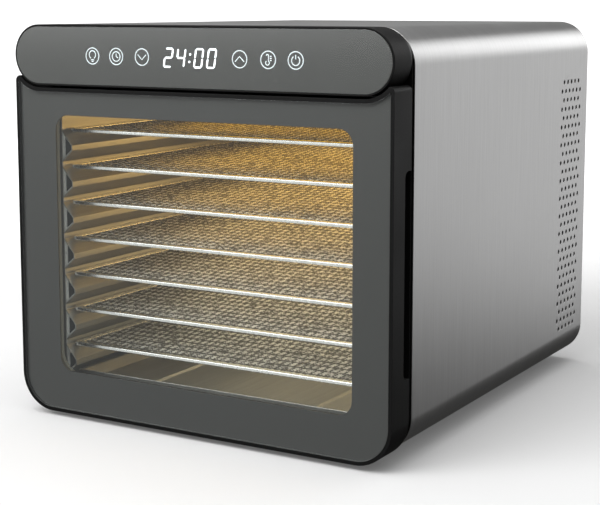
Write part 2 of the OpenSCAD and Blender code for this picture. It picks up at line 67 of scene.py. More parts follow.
def makeCamera(setup):
    data = bpy.data.cameras.new("camera")
    data.sensor_width = setup["sensor"]
    data.lens = setup["lens"]
    data.shift_y = setup["shiftY"]
    data.clip_start = setup["clip"]
    camera = bpy.data.objects.new("camera", data)
    camera.location = setup["place"]
    camera.rotation_euler = (math.radians(90 - setup["pitch"]), 0, math.radians(setup["yaw"]))
    bpy.context.collection.objects.link(camera)
    bpy.context.scene.camera = camera


makeCamera(cameraSetup)
bpy.context.scene.view_settings.view_transform = "Standard"
print("camera ready")

# ---- node helpers ----


class Sock:                                 # a node's output, with maths written as expressions
    def __init__(self, tree, socket):
        self.tree = tree
        self.socket = socket

    def join(self, operation, first, second=None):
        values = [first] if second is None else [first, second]
        return addNode(self.tree, "ShaderNodeMath", {"operation": operation}, dict(enumerate(values)))

    def __add__(self, other):
        return self.join("ADD", self, other)

    def __radd__(self, other):
        return self.join("ADD", other, self)

    def __sub__(self, other):
        return self.join("SUBTRACT", self, other)

    def __rsub__(self, other):
        return self.join("SUBTRACT", other, self)

    def __mul__(self, other):
        return self.join("MULTIPLY", self, other)

    def __rmul__(self, other):
        return self.join("MULTIPLY", other, self)

    def __truediv__(self, other):
        return self.join("DIVIDE", self, other)

    def __mod__(self, other):
        return self.join("FLOORED_MODULO", self, other)

    def __gt__(self, other):
        return self.join("GREATER_THAN", self, other)

    def __lt__(self, other):
        return self.join("LESS_THAN", self, other)

    def __abs__(self):
        return self.join("ABSOLUTE", self)

    def floor(self):
        return self.join("FLOOR", self)

    def out(self, name):                    # another output of the same node
        return Sock(self.tree, self.socket.node.outputs[name])


def addNode(tree, kind, settings=None, inputs=None):
    node = tree.nodes.new(kind)
    for key, value in (settings or {}).items():
        if key == "stops":                  # a ramp's (position, colour) pairs
            ramp = node.color_ramp
            while len(ramp.elements) < len(value):
                ramp.elements.new(1)
            for element, (place, colour) in zip(ramp.elements, value):
                element.position = place
                element.color = (*colour, 1)
        else:
            setattr(node, key, value)
    for key, value in (inputs or {}).items():
        if isinstance(value, Sock):
            tree.links.new(value.socket, node.inputs[key])
        else:
            node.inputs[key].default_value = value
    return Sock(tree, node.outputs[0]) if node.outputs else node


# ---- material helpers ----


def newMaterial(name):
    material = bpy.data.materials.new(name)
    material.use_nodes = True
    material.node_tree.nodes.clear()
    return material, material.node_tree


def place(tree):
    return addNode(tree, "ShaderNodeTexCoord").out("Object")


def stretched(tree, scale):                 # object coordinates with a scale for each axis
    return addNode(tree, "ShaderNodeVectorMath", {"operation": "MULTIPLY"}, {0: place(tree), 1: scale})


def noise(tree, scale, detail=2.0, rough=0.5, vector=None):
    return addNode(tree, "ShaderNodeTexNoise", {}, {
        "Vector": vector or place(tree), "Scale": scale, "Detail": detail, "Roughness": rough})


def blendColours(tree, factor, low, high):  # 6, 7 and 2 are the colour sockets of a Mix node
    return addNode(tree, "ShaderNodeMix", {"data_type": "RGBA"}, {
        "Factor": factor, 6: (*low, 1), 7: (*high, 1)}).out(2)


def stops(tree, value, pairs):
    return addNode(tree, "ShaderNodeValToRGB", {"stops": pairs}, {"Fac": value})


def remap(tree, value, low, high, newLow, newHigh):
    return addNode(tree, "ShaderNodeMapRange", {}, {
        "Value": value, "From Min": low, "From Max": high, "To Min": newLow, "To Max": newHigh})


def bump(tree, height, distance, strength=1.0):
    return addNode(tree, "ShaderNodeBump", {}, {"Height": height, "Distance": distance, "Strength": strength})


def surface(tree, shader):
    addNode(tree, "ShaderNodeOutputMaterial", {}, {"Surface": shader})


def principled(tree, values):
    return addNode(tree, "ShaderNodeBsdfPrincipled", {}, values)


# ---- materials ----

relief = {"polish": 0.01, "glass": 0.002, "board": 0.03, "bands": 0.05}    # bump depths in mm
brush = {"stretch": 60, "broad": 5}         # how much longer and broader the scratches are than wide


def brushedMetal(name, low, high, rough, along, grain=1500, depth=0.003):
    material, tree = newMaterial(name)
    scale = [grain, grain, grain]
    for axis in along:                      # the brush runs along these axes
        scale[axis] = grain / brush["stretch"]
    fine = noise(tree, 1, 2, 0.5, stretched(tree, tuple(scale)))
    broad = noise(tree, 1, 2, 0.5, stretched(tree, tuple(size / brush["broad"] for size in scale)))
    cloud = noise(tree, 9, 2)
    mask = fine * 0.7 + broad * 0.3
    surface(tree, principled(tree, {
        "Base Color": blendColours(tree, remap(tree, mask, 0.3, 0.7, 0, 1), low, high),
        "Metallic": 1.0,
        "Roughness": remap(tree, mask + cloud * 0.2, 0.3, 0.9, rough - 0.06, rough + 0.06),
        "Normal": bump(tree, mask, depth * mm)}))
    return material


def mouldedPlastic(name, colour, rough, grain=900, depth=0.02, shine=0.5):
    material, tree = newMaterial(name)
    texture = noise(tree, grain, 2, 0.6)
    cloud = noise(tree, 14, 3)
    lighter = tuple(c * 1.25 for c in colour)
    surface(tree, principled(tree, {
        "Base Color": blendColours(tree, cloud, colour, lighter),
        "Roughness": remap(tree, texture + cloud, 0.7, 1.3, rough - 0.06, rough + 0.06),
        "Specular IOR Level": shine,
        "Normal": bump(tree, texture, depth * mm)}))
    return material


def rolledSheet(name, colour, rough=0.38):  # plated sheet with a faint spangle
    material, tree = newMaterial(name)
    cells = addNode(tree, "ShaderNodeTexVoronoi", {}, {"Vector": place(tree), "Scale": 160.0}).out("Color")
    value = addNode(tree, "ShaderNodeRGBToBW", {}, {"Color": cells})
    cloud = noise(tree, 30, 3)
    lighter = tuple(min(c * 1.2, 1) for c in colour)
    surface(tree, principled(tree, {
        "Base Color": blendColours(tree, value * 0.5 + cloud * 0.5, colour, lighter),
        "Metallic": 1.0,
        "Roughness": remap(tree, value + cloud, 0.4, 1.4, rough - 0.08, rough + 0.08),
        "Normal": bump(tree, value, relief["polish"] * mm)}))
    return material


# size and spacing of the painted glint dashes in the weave's colour, in mm; dim is the weaker dashes'
# brightness
paintedGlintDash = {"length": 6.4, "row": 12.8, "gap": 0.9, "squeeze": 0.3, "dim": 0.45}


def paintedGlintWire(name, low, high, rough):      # staggered rows of painted glints: bright dashes painted into the colour where the wires cross
    material, tree = newMaterial(name)
    paintedGlintDashes = addNode(tree, "ShaderNodeTexBrick", {}, {
        "Vector": stretched(tree, (1, paintedGlintDash["squeeze"], 1)), "Scale": 1.0,
        "Color1": (1, 1, 1, 1), "Color2": (paintedGlintDash["dim"], paintedGlintDash["dim"], paintedGlintDash["dim"], 1),
        "Mortar": (0, 0, 0, 1), "Mortar Size": paintedGlintDash["gap"] * mm, "Mortar Smooth": 0.3,
        "Brick Width": paintedGlintDash["length"] * mm, "Row Height": paintedGlintDash["row"] * paintedGlintDash["squeeze"] * mm})
    paintedGlintRows = addNode(tree, "ShaderNodeRGBToBW", {}, {"Color": paintedGlintDashes})
    paintedGlint = noise(tree, 1, 1, 0.5, stretched(tree, (440, 210, 440)))
    # painted highlight: the glint dashes and specks lighten the base colour
    mask = remap(tree, paintedGlintRows * 0.3 + paintedGlint * 0.7, 0.4, 0.6, 0, 1)
    surface(tree, principled(tree, {
        "Base Color": blendColours(tree, mask, low, high),
        "Metallic": 0.35,
        "Roughness": remap(tree, mask, 0, 1, rough + 0.15, rough),
        "Normal": bump(tree, paintedGlint, relief["polish"] * mm)}))
    return material


def polishedWire(name, colour, rough, metal=1.0):
    material, tree = newMaterial(name)
    scuff = noise(tree, 260, 3, 0.6)
    darker = tuple(c * 0.82 for c in colour)
    surface(tree, principled(tree, {
        "Base Color": blendColours(tree, scuff, darker, colour),
        "Metallic": metal,
        "Roughness": remap(tree, scuff, 0.3, 0.7, rough - 0.05, rough + 0.08),
        "Normal": bump(tree, scuff, relief["polish"] * mm)}))
    return material


def printedGlass(name, colour):
    material, tree = newMaterial(name)
    cloud = noise(tree, 6, 3)
    dust = noise(tree, 1800, 2)
    lighter = tuple(c * 1.07 for c in colour)
    surface(tree, principled(tree, {
        "Base Color": blendColours(tree, cloud, colour, lighter),
        "Roughness": remap(tree, dust, 0.3, 0.7, 0.4, 0.5),
        "Normal": bump(tree, dust, relief["glass"] * mm)}))
    return material


gloss = {"straight": 0.04, "edge": 0.9}     # how much a pane mirrors seen straight on, and edge on besides


def clearGlass(name, rough=0.12, haze=0.0):  # the same from both sides
    material, tree = newMaterial(name)
    smear = noise(tree, 90, 3)
    facing = addNode(tree, "ShaderNodeLayerWeight", {}, {"Blend": 0.5}).out("Facing")
    square = facing * facing
    gleam = square * square * facing * gloss["edge"] + gloss["straight"] + haze
    shine = principled(tree, {
        "Base Color": (0.8, 0.82, 0.82, 1) if haze else (1, 1, 1, 1),
        "Metallic": 0.4 if haze else 1.0,
        "Roughness": remap(tree, smear, 0.3, 0.7, rough, rough * 1.15)})
    clear = addNode(tree, "ShaderNodeBsdfTransparent", {}, {"Color": (0.97, 0.98, 0.97, 1)})
    surface(tree, addNode(tree, "ShaderNodeMixShader", {}, {0: gleam, 1: clear, 2: shine}))
    return material


def glowing(name, colour, strength, edge=0.85):
    material, tree = newMaterial(name)
    cells = noise(tree, 700, 1)
    dim = tuple(c * edge for c in colour)
    surface(tree, principled(tree, {
        "Base Color": (*colour, 1),
        "Roughness": 0.4,
        "Emission Color": blendColours(tree, cells, dim, colour),
        "Emission Strength": strength}))
    return material


def circuitBoard(name):
    material, tree = newMaterial(name)
    spot = place(tree)
    axes = addNode(tree, "ShaderNodeSeparateXYZ", {}, {"Vector": spot})
    pitch = 2.54 * mm
    cell = addNode(tree, "ShaderNodeTexVoronoi", {"distance": "MANHATTAN"}, {"Vector": spot, "Scale": 90.0})
    lines = addNode(tree, "ShaderNodeTexBrick", {}, {"Vector": spot, "Scale": 60.0, "Mortar Size": 0.03})
    hole = abs((axes / pitch) % 1 - 0.5) < 0.12
    copper = lines.out("Fac") * (cell < 0.5)
    mask = copper * 0.6 + hole * 0.25
    surface(tree, principled(tree, {
        "Base Color": blendColours(tree, mask, (0.01, 0.09, 0.035), (0.12, 0.3, 0.12)),
        "Roughness": 0.4,
        "Normal": bump(tree, mask, relief["board"] * mm)}))
    return material


def bandedPart(name, low, high, pitch, axis, metal, rough):    # laminations, sleeves and component rows
    material, tree = newMaterial(name)
    axes = addNode(tree, "ShaderNodeSeparateXYZ", {}, {"Vector": place(tree)})
    along = axes.out("XYZ"[axis])
    band = abs((along / (pitch * mm)) % 1 - 0.5) * 2
    cloud = noise(tree, 60, 3)
    surface(tree, principled(tree, {
        "Base Color": blendColours(tree, band * 0.7 + cloud * 0.3, low, high),
        "Metallic": metal,
        "Roughness": remap(tree, cloud, 0.3, 0.7, rough - 0.05, rough + 0.1),
        "Normal": bump(tree, band, relief["bands"] * mm)}))
    return material


finishes = {
    "wrapSteel": brushedMetal("brushed_steel", (0.55, 0.55, 0.55), (0.66, 0.66, 0.66), 0.36, (0, 2)),
    "chamberSteel": brushedMetal("chamber_steel", (0.4, 0.395, 0.38), (0.52, 0.515, 0.5), 0.4, (1,), 900),
    # ridge ends on the chamber steel: the lip's near-white is a painted highlight, the cap's near-black a
    # painted reflection of the dark door frame
    "ridgeLipHighlight": polishedWire("ridge_lip_painted_highlight", (0.95, 0.95, 0.92), 0.3, 0.25),
    "ridgeCapDarkReflection": polishedWire("ridge_cap_painted_reflection", (0.035, 0.04, 0.044), 0.45, 0.5),
    "sheetSteel": rolledSheet("plated_sheet", (0.42, 0.42, 0.43)),
    "trayRim": polishedWire("tray_rim_steel", (0.9, 0.89, 0.87), 0.24),
    # the weave's bright colour is painted glints over the dark wire
    "trayWeave": paintedGlintWire("tray_weave_painted_glints", (0.09, 0.085, 0.075), (0.8, 0.78, 0.72), 0.3),
    "screwSteel": polishedWire("screw_steel", (0.7, 0.7, 0.7), 0.25),
    "brackets": rolledSheet("bracket_steel", (0.5, 0.5, 0.52), 0.32),
    "frameBlack": mouldedPlastic("frame_black", (0.012, 0.012, 0.012), 0.36),
    "trimBlack": mouldedPlastic("trim_black", (0.01, 0.01, 0.01), 0.46, 1100, 0.02, shine=0.14),
    "coverBlack": mouldedPlastic("cover_black", (0.02, 0.02, 0.02), 0.5, 700, 0.05),
    # the panel's print is drawn lighter than the door's: partly painted light from above, partly making up for
    # the haze of the door's pane
    "glassPrint": printedGlass("glass_print", (0.087, 0.0893, 0.088)),
    "panelPrint": printedGlass("panel_print", (0.127, 0.1305, 0.128)),
    "linerGrey": mouldedPlastic("liner_grey", (0.13, 0.127, 0.105), 0.55, 500, 0.03, shine=0.2),
    "clearGlass": clearGlass("clear_glass"),
    "doorGlass": clearGlass("door_glass_clear", 0.16, 0.018),
    "rubber": mouldedPlastic("foot_rubber", (0.015, 0.015, 0.015), 0.75, 500, 0.06),
    "silicone": mouldedPlastic("gasket_silicone", (0.05, 0.05, 0.052), 0.6, 300, 0.03),
    "magnet": polishedWire("magnet_nickel", (0.5, 0.5, 0.52), 0.3),
    "board": circuitBoard("circuit_board"),
    "display": mouldedPlastic("display_face", (0.03, 0.03, 0.035), 0.3, 400, 0.01),
    "spring": polishedWire("touch_spring_gold", (0.85, 0.62, 0.3), 0.25),
    "components": bandedPart("components", (0.02, 0.02, 0.03), (0.12, 0.12, 0.16), 7, 2, 0.0, 0.45),
    "ceramic": mouldedPlastic("ceramic", (0.62, 0.6, 0.54), 0.5, 300, 0.04),
    "heater": bandedPart("heater_sheath", (0.11, 0.09, 0.08), (0.2, 0.17, 0.15), 40, 0, 0.9, 0.5),
    "motor": bandedPart("motor_laminations", (0.16, 0.16, 0.17), (0.45, 0.45, 0.46), 1.5, 1, 0.9, 0.4),
    "fan": brushedMetal("fan_aluminium", (0.6, 0.6, 0.6), (0.75, 0.75, 0.75), 0.3, (0,), 800),
    "bulb": glowing("bulb_glass", (1, 0.78, 0.42), 12),
    "lens": glowing("lamp_lens", (1, 0.74, 0.38), 3),
    "digits": glowing("display_light", (0.93, 0.97, 1), 1.6),
    # painted glow: the icon print gives off light of its own though it is no lamp
    "icons": glowing("icon_print_painted_glow", (0.76, 0.83, 0.86), 0.75),
}
print("materials ready:", len(finishes))


# ---- mesh helpers ----


def dress(obj, finish):
    obj.data.materials.clear()
    obj.data.materials.append(finishes[finish])


def addPiece(name, mesh, finish, body):
    obj = bpy.data.objects.new(name, mesh)
    bpy.context.collection.objects.link(obj)
    if finish:
        dress(obj, finish)
    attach(obj, body)
    return obj


def flattened(obj, name):                   # the object's modifiers made into a plain mesh
    depsgraph = bpy.context.evaluated_depsgraph_get()
    mesh = bpy.data.meshes.new_from_object(obj.evaluated_get(depsgraph), depsgraph=depsgraph)
    mesh.name = name
    return mesh


merge = {"distance": 0.004, "angle": 0.6}


def cadMesh(node, flat=True):               # a merged copy of a CAD node's mesh, flat faces joined if flat
    source = nodes[node].data
    mesh = bpy.data.meshes.new(node)
    mesh.from_pydata([v.co[:] for v in source.vertices], [], [tuple(p.vertices) for p in source.polygons])
    bm = bmesh.new()
    bm.from_mesh(mesh)
    bmesh.ops.remove_doubles(bm, verts=bm.verts, dist=merge["distance"] * mm)
    if flat:
        bmesh.ops.dissolve_limit(bm, angle_limit=math.radians(merge["angle"]), verts=bm.verts, edges=bm.edges)
    bm.to_mesh(mesh)
    bm.free()
    return mesh


def markSharp(mesh, angle):
    bm = bmesh.new()
    bm.from_mesh(mesh)
    for edge in bm.edges:
        edge.smooth = len(edge.link_faces) == 2 and edge.calc_face_angle(0) < math.radians(angle)
    for face in bm.faces:
        face.smooth = True
    bm.to_mesh(mesh)
    bm.free()


rounding = {"from": 30, "sharp": 50}        # angles in degrees


def softened(mesh, width, segments=2):      # a small radius along the sharp edges
    obj = bpy.data.objects.new("softening", mesh)
    bpy.context.collection.objects.link(obj)
    bevel = obj.modifiers.new("bevel", "BEVEL")
    bevel.width = width * mm
    bevel.segments = segments
    bevel.limit_method = "ANGLE"
    bevel.angle_limit = math.radians(rounding["from"])
    bevel.harden_normals = False
    rounded = flattened(obj, mesh.name)
    obj.modifiers.clear()
    obj.data = rounded
    markSharp(rounded, rounding["sharp"])
    weighted = obj.modifiers.new("weighted", "WEIGHTED_NORMAL")
    weighted.keep_sharp = True
    result = flattened(obj, mesh.name)
    bpy.data.objects.remove(obj)
    return result


def refine(node, name, finish, body, width, segments=2, flat=True):
    obj = addPiece(name, softened(cadMesh(node, flat), width, segments), finish, body)
    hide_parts(node)
    return obj


# ---- case ----

edgeRadius = {
    "wrap": 0.16, "frame": 0.5, "cover": 0.7, "feet": 0.8, "bush": 0.5,
    "shell": 0.9, "pane": 0.3, "liner": 0.4, "seal": 0.5, "chamber": 0.25,
}

refine("outer_wrap", "steel_wrap", "wrapSteel", "root", edgeRadius["wrap"], 1, False)
refine("front_frame", "front_fascia", "frameBlack", "root", edgeRadius["frame"])
refine("rear_cover", "back_cover", "coverBlack", "root", edgeRadius["cover"])
refine("feet", "rubber_feet", "rubber", "root", edgeRadius["feet"])
refine("cord_gland", "cord_bush", "coverBlack", "root", edgeRadius["bush"])
print("case ready")

# ---- control panel ----

panel = {"printDepth": 0.35, "printSheet": 0.25}
panelLow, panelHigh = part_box("panel_housing")
panelMiddle = (panelLow.z + panelHigh.z) / 2

refine("panel_housing", "panel_shell", "trimBlack", "root", edgeRadius["shell"], 3)


def depthSlab(mesh, low, high, newLow, newHigh):     # moves a plate's two faces to new depths
    middle = (low + high) / 2
    for vertex in mesh.vertices:
        vertex.co.y = newLow if vertex.co.y < middle else newHigh


def sheetBehind(node, name, finish, body, fromFront, thick):    # a print behind a pane's front face
    low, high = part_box(node)
    mesh = cadMesh(node)
    start = low.y + fromFront * mm
    depthSlab(mesh, low.y, high.y, start, start + thick * mm)
    return addPiece(name, mesh, finish, body)


# ---- icons and digits ----


def strokeTree(name):                       # a mesh of edges becomes flat strokes
    tree = bpy.data.node_groups.new(name, "GeometryNodeTree")
    face = tree.interface
    face.new_socket("Geometry", in_out="INPUT", socket_type="NodeSocketGeometry")
    for label in ("Width", "Thickness"):
        face.new_socket(label, in_out="INPUT", socket_type="NodeSocketFloat")
    face.new_socket("Material", in_out="INPUT", socket_type="NodeSocketMaterial")
    face.new_socket("Geometry", in_out="OUTPUT", socket_type="NodeSocketGeometry")
    given = addNode(tree, "NodeGroupInput")
    curve = addNode(tree, "GeometryNodeMeshToCurve", {}, {"Mesh": given.out("Geometry")})
    profile = addNode(tree, "GeometryNodeCurvePrimitiveQuadrilateral", {}, {
        "Width": given.out("Width"), "Height": given.out("Thickness")})
    band = addNode(tree, "GeometryNodeCurveToMesh", {}, {
        "Curve": curve, "Profile Curve": profile, "Fill Caps": True})
    real = addNode(tree, "GeometryNodeRealizeInstances", {}, {"Geometry": band})
    final = addNode(tree, "GeometryNodeSetMaterial", {}, {"Geometry": real, "Material": given.out("Material")})
    addNode(tree, "NodeGroupOutput", {}, {"Geometry": final})
    return tree


def grown(tree, mesh, name, values):        # runs a Geometry Nodes tree on a mesh and keeps the result
    obj = bpy.data.objects.new(name, mesh)
    bpy.context.collection.objects.link(obj)
    modifier = obj.modifiers.new("nodes", "NODES")
    modifier.node_group = tree
    for item in tree.interface.items_tree:
        if item.in_out == "INPUT" and item.name in values:
            modifier[item.identifier] = values[item.name]
    result = flattened(obj, name)
    bpy.data.objects.remove(obj)
    return result


def arcPoints(cx, cy, r, start, end, count):
    angles = [math.radians(start + (end - start) * i / count) for i in range(count + 1)]
    return [(cx + r * math.cos(a), cy + r * math.sin(a)) for a in angles]


def bulbIcon(x):
    glass = arcPoints(x, 1, 3.1, -60, 240, 16)
    return [glass, [(x - 1.5, -3), (x + 1.5, -3)], [(x - 0.9, -4.2), (x + 0.9, -4.2)]]


def clockIcon(x):
    return [arcPoints(x, 0, 3.7, 0, 360, 22)[:-1], [(x, 2.3), (x, 0), (x + 1.8, -1)]]


def chevronIcon(x, up):
    s = 1 if up else -1
    return [[(x - 3.9, -1.8 * s), (x, 2 * s), (x + 3.9, -1.8 * s)]]


def thermometerIcon(x):
    bowl = arcPoints(x - 0.6, -2.2, 1.6, 124, 416, 12)
    tube = arcPoints(x - 0.6, 3, 0.9, 0, 180, 6)
    outline = bowl + tube
    marks = [[(x + 1.5, z), (x + 2.9, z)] for z in (2.6, 1.1, -0.4)]
    return [outline] + marks


def powerIcon(x):
    return [arcPoints(x, -0.2, 3.4, 122, 418, 18), [(x, 0.8), (x, 4)]]


keys = {"radius": 6.25, "width": 0.8, "thick": 0.1, "depth": 0.2, "places": (44, 68.4, 91.4)}


def iconLines():
    near, middle, far = keys["places"]
    closed = [arcPoints(s * x, 0, keys["radius"], 0, 360, 40)[:-1] for s in (-1, 1) for x in keys["places"]]
    marks = bulbIcon(-far) + clockIcon(-middle) + chevronIcon(-near, False)
    marks += chevronIcon(near, True) + thermometerIcon(middle) + powerIcon(far)
    return closed, marks


def lineMesh(closed, marks):
    vertices, edges = [], []
    loops = closed + [clockIcon(-keys["places"][1])[0]]
    for points in closed + marks:
        first = len(vertices)
        vertices += [(x * mm, y * mm, 0) for x, y in points]
        edges += [(first + i, first + i + 1) for i in range(len(points) - 1)]
        if points in loops:
            edges.append((first + len(points) - 1, first))
    mesh = bpy.data.meshes.new("icon_lines")
    mesh.from_pydata(vertices, edges, [])
    return mesh


def standUp(mesh, y, z):                    # from flat on XY to upright, facing the front
    mesh.transform(Matrix.Translation((0, y, z)) @ Matrix.Rotation(math.radians(90), 4, "X"))


digits = {
    "text": "2400", "places": (-1.75, -0.72, 0.72, 1.75), "pitch": 11.1,
    "height": 15, "width": 8, "bar": 1.4, "gap": 0.35, "slant": 9,
    "dotRise": 2.8, "dotRadius": 0.9, "depth": 0.28, "thick": 0.12,
}
segmentTable = {"0": "abcdef", "2": "abged", "4": "fgbc"}


def segment(cx, cy, length, bar, upright):
    h, t = length / 2, bar / 2
    shape = [(-h, 0), (-h + t, t), (h - t, t), (h, 0), (h - t, -t), (-h + t, -t)]
    return [(cx - y, cy + x) if upright else (cx + x, cy + y) for x, y in shape]


def digitShapes(symbol, x0):
    w, h, bar, gap = digits["width"], digits["height"], digits["bar"], digits["gap"]
    across, tall = w - bar - gap, h / 2 - bar / 2 - gap
    middle, side = x0, w / 2 - bar / 2
    places = {
        "a": segment(middle, h / 2 - bar / 2, across, bar, False),
        "g": segment(middle, 0, across, bar, False),
        "d": segment(middle, -h / 2 + bar / 2, across, bar, False),
        "f": segment(middle - side, h / 4 - bar / 4, tall, bar, True),
        "b": segment(middle + side, h / 4 - bar / 4, tall, bar, True),
        "e": segment(middle - side, -h / 4 + bar / 4, tall, bar, True),
        "c": segment(middle + side, -h / 4 + bar / 4, tall, bar, True),
    }
    return [places[key] for key in segmentTable[symbol]]


def digitMesh():
    lean = math.tan(math.radians(digits["slant"]))
    shapes = []
    for symbol, spot in zip(digits["text"], digits["places"]):
        shapes += digitShapes(symbol, spot * digits["pitch"])
    for y in (-digits["dotRise"], digits["dotRise"]):
        shapes.append(arcPoints(0, y, digits["dotRadius"], 0, 360, 10)[:-1])
    bm = bmesh.new()
    for shape in shapes:
        low = [bm.verts.new(((x + y * lean) * mm, y * mm, 0)) for x, y in shape]
        face = bm.faces.new(low)
        for item in bmesh.ops.extrude_face_region(bm, geom=[face])["geom"]:
            if isinstance(item, bmesh.types.BMVert):
                item.co.z += digits["thick"] * mm
    bmesh.ops.recalc_face_normals(bm, faces=bm.faces)
    mesh = bpy.data.meshes.new("digits")
    bm.to_mesh(mesh)
    bm.free()
    return mesh


sheetBehind("panel_glass", "panel_print", "panelPrint", "root",
            panel["printDepth"], panel["printSheet"])
refine("panel_glass", "panel_pane", "clearGlass", "root", edgeRadius["pane"])

# the icon strokes take the painted glow
iconSheet = grown(strokeTree("stroke"), lineMesh(*iconLines()), "key_icons", {
    "Width": keys["width"] * mm, "Thickness": keys["thick"] * mm, "Material": finishes["icons"]})
standUp(iconSheet, frontY + keys["depth"] * mm, panelMiddle)
addPiece("key_icons", iconSheet, "icons", "root")
digitSheet = digitMesh()
standUp(digitSheet, frontY + digits["depth"] * mm, panelMiddle)
addPiece("display_digits", digitSheet, "digits", "root")
print("panel ready")

# ---- door ----

refine("door_frame", "door_shell", "trimBlack", "door", edgeRadius["shell"], 3)
refine("door_liner", "door_inner_frame", "linerGrey", "door", edgeRadius["liner"])
refine("door_gasket", "door_seal", "silicone", "door", edgeRadius["seal"])

door = {"printDepth": 2.9, "printSheet": 0.25, "cutBefore": 10, "cutBehind": 20}
window = {"left": -132, "right": 136.5, "low": 38.5, "high": 246.5, "radius": 12}


def roundedBox(x0, x1, z0, z1, r, count=8):
    corners = [(x1 - r, z0 + r, -90), (x1 - r, z1 - r, 0), (x0 + r, z1 - r, 90), (x0 + r, z0 + r, 180)]
    return [point for cx, cz, start in corners for point in arcPoints(cx, cz, r, start, start + 90, count)]


def cutWindow(obj):                         # takes the window out of the print
    outline = roundedBox(*[window[key] for key in ("left", "right", "low", "high", "radius")])
    bm = bmesh.new()
    near = [bm.verts.new((x * mm, frontY - door["cutBefore"] * mm, z * mm)) for x, z in outline]
    far = [bm.verts.new((x * mm, frontY + door["cutBehind"] * mm, z * mm)) for x, z in outline]
    bm.faces.new(near)
    bm.faces.new(far[::-1])
    count = len(outline)
    for i in range(count):
        bm.faces.new((near[i], far[i], far[(i + 1) % count], near[(i + 1) % count]))
    bmesh.ops.recalc_face_normals(bm, faces=bm.faces)
    mesh = bpy.data.meshes.new("window_tool")
    bm.to_mesh(mesh)
    bm.free()
    tool = bpy.data.objects.new("window_tool", mesh)
    bpy.context.collection.objects.link(tool)
    cut = obj.modifiers.new("window", "BOOLEAN")
    cut.object = tool
    cut.solver = "EXACT"
    obj.data = flattened(obj, obj.name)
    obj.modifiers.clear()
    bpy.data.objects.remove(tool)


doorPrint = sheetBehind("door_glass", "door_print", "glassPrint", "door",
                        door["printDepth"], door["printSheet"])
cutWindow(doorPrint)
refine("door_glass", "door_pane", "doorGlass", "door", edgeRadius["pane"])
print("door ready")

# ---- trays ----

weave = {"pitch": 3.2, "wire": 0.36, "swing": 0.9, "tuck": 0.6, "lift": 0.15}
tray = {"edge": 1.4, "clear": 0.2, "railFrom": 100}
trayNumbers = range(1, 8)


def weaveTree(name):                        # a grid of wires, each one over and under the next
    tree = bpy.data.node_groups.new(name, "GeometryNodeTree")
    face = tree.interface
    for label in ("Width", "Depth", "Wire", "Front", "Height"):
        face.new_socket(label, in_out="INPUT", socket_type="NodeSocketFloat")
    for label in ("Across", "Along"):
        face.new_socket(label, in_out="INPUT", socket_type="NodeSocketInt")
    face.new_socket("Material", in_out="INPUT", socket_type="NodeSocketMaterial")
    face.new_socket("Geometry", in_out="OUTPUT", socket_type="NodeSocketGeometry")
    given = addNode(tree, "NodeGroupInput")
    across, along = given.out("Across"), given.out("Along")
    grid = addNode(tree, "GeometryNodeMeshGrid", {}, {
        "Size X": given.out("Width"), "Size Y": given.out("Depth"), "Vertices X": across, "Vertices Y": along})
    index = addNode(tree, "GeometryNodeInputIndex")
    parity = ((index / along).floor() + index % along) % 2
    ends = addNode(tree, "GeometryNodeInputMeshEdgeVertices")
    span = addNode(tree, "ShaderNodeVectorMath", {"operation": "SUBTRACT"}, {
        0: ends.out("Position 1"), 1: ends.out("Position 2")})
    part = addNode(tree, "ShaderNodeSeparateXYZ", {}, {"Vector": span})
    alongX = abs(part.out("X")) > abs(part.out("Y"))
    profile = addNode(tree, "GeometryNodeCurvePrimitiveCircle", {}, {
        "Resolution": 3, "Radius": given.out("Wire")})
    joined = addNode(tree, "GeometryNodeJoinGeometry")
    for keep, swing in ((alongX, parity * 2 - 1), (1 - alongX, 1 - parity * 2)):
        lift = addNode(tree, "ShaderNodeCombineXYZ", {}, {"Z": swing * given.out("Wire") * weave["swing"]})
        waved = addNode(tree, "GeometryNodeSetPosition", {}, {"Geometry": grid, "Offset": lift})
        path = addNode(tree, "GeometryNodeMeshToCurve", {}, {"Mesh": waved, "Selection": keep})
        wire = addNode(tree, "GeometryNodeCurveToMesh", {}, {
            "Curve": path, "Profile Curve": profile, "Fill Caps": True})
        tree.links.new(wire.socket, joined.socket.node.inputs[0])
    spot = addNode(tree, "ShaderNodeCombineXYZ", {}, {"Y": given.out("Front"), "Z": given.out("Height")})
    placed = addNode(tree, "GeometryNodeTransform", {}, {"Geometry": joined, "Translation": spot})
    real = addNode(tree, "GeometryNodeRealizeInstances", {}, {"Geometry": placed})
    final = addNode(tree, "GeometryNodeSetMaterial", {}, {"Geometry": real, "Material": given.out("Material")})
    addNode(tree, "NodeGroupOutput", {}, {"Geometry": final})
    return tree


def trayRim():                              # the top tray's rim, its rails a little clear of the ridges
    mesh = softened(cadMesh("tray_7_frame"), tray["edge"], 3)
    for vertex in mesh.vertices:
        if abs(vertex.co.x) > tray["railFrom"] * mm:
            vertex.co.x -= math.copysign(tray["clear"] * mm, vertex.co.x)
    return mesh


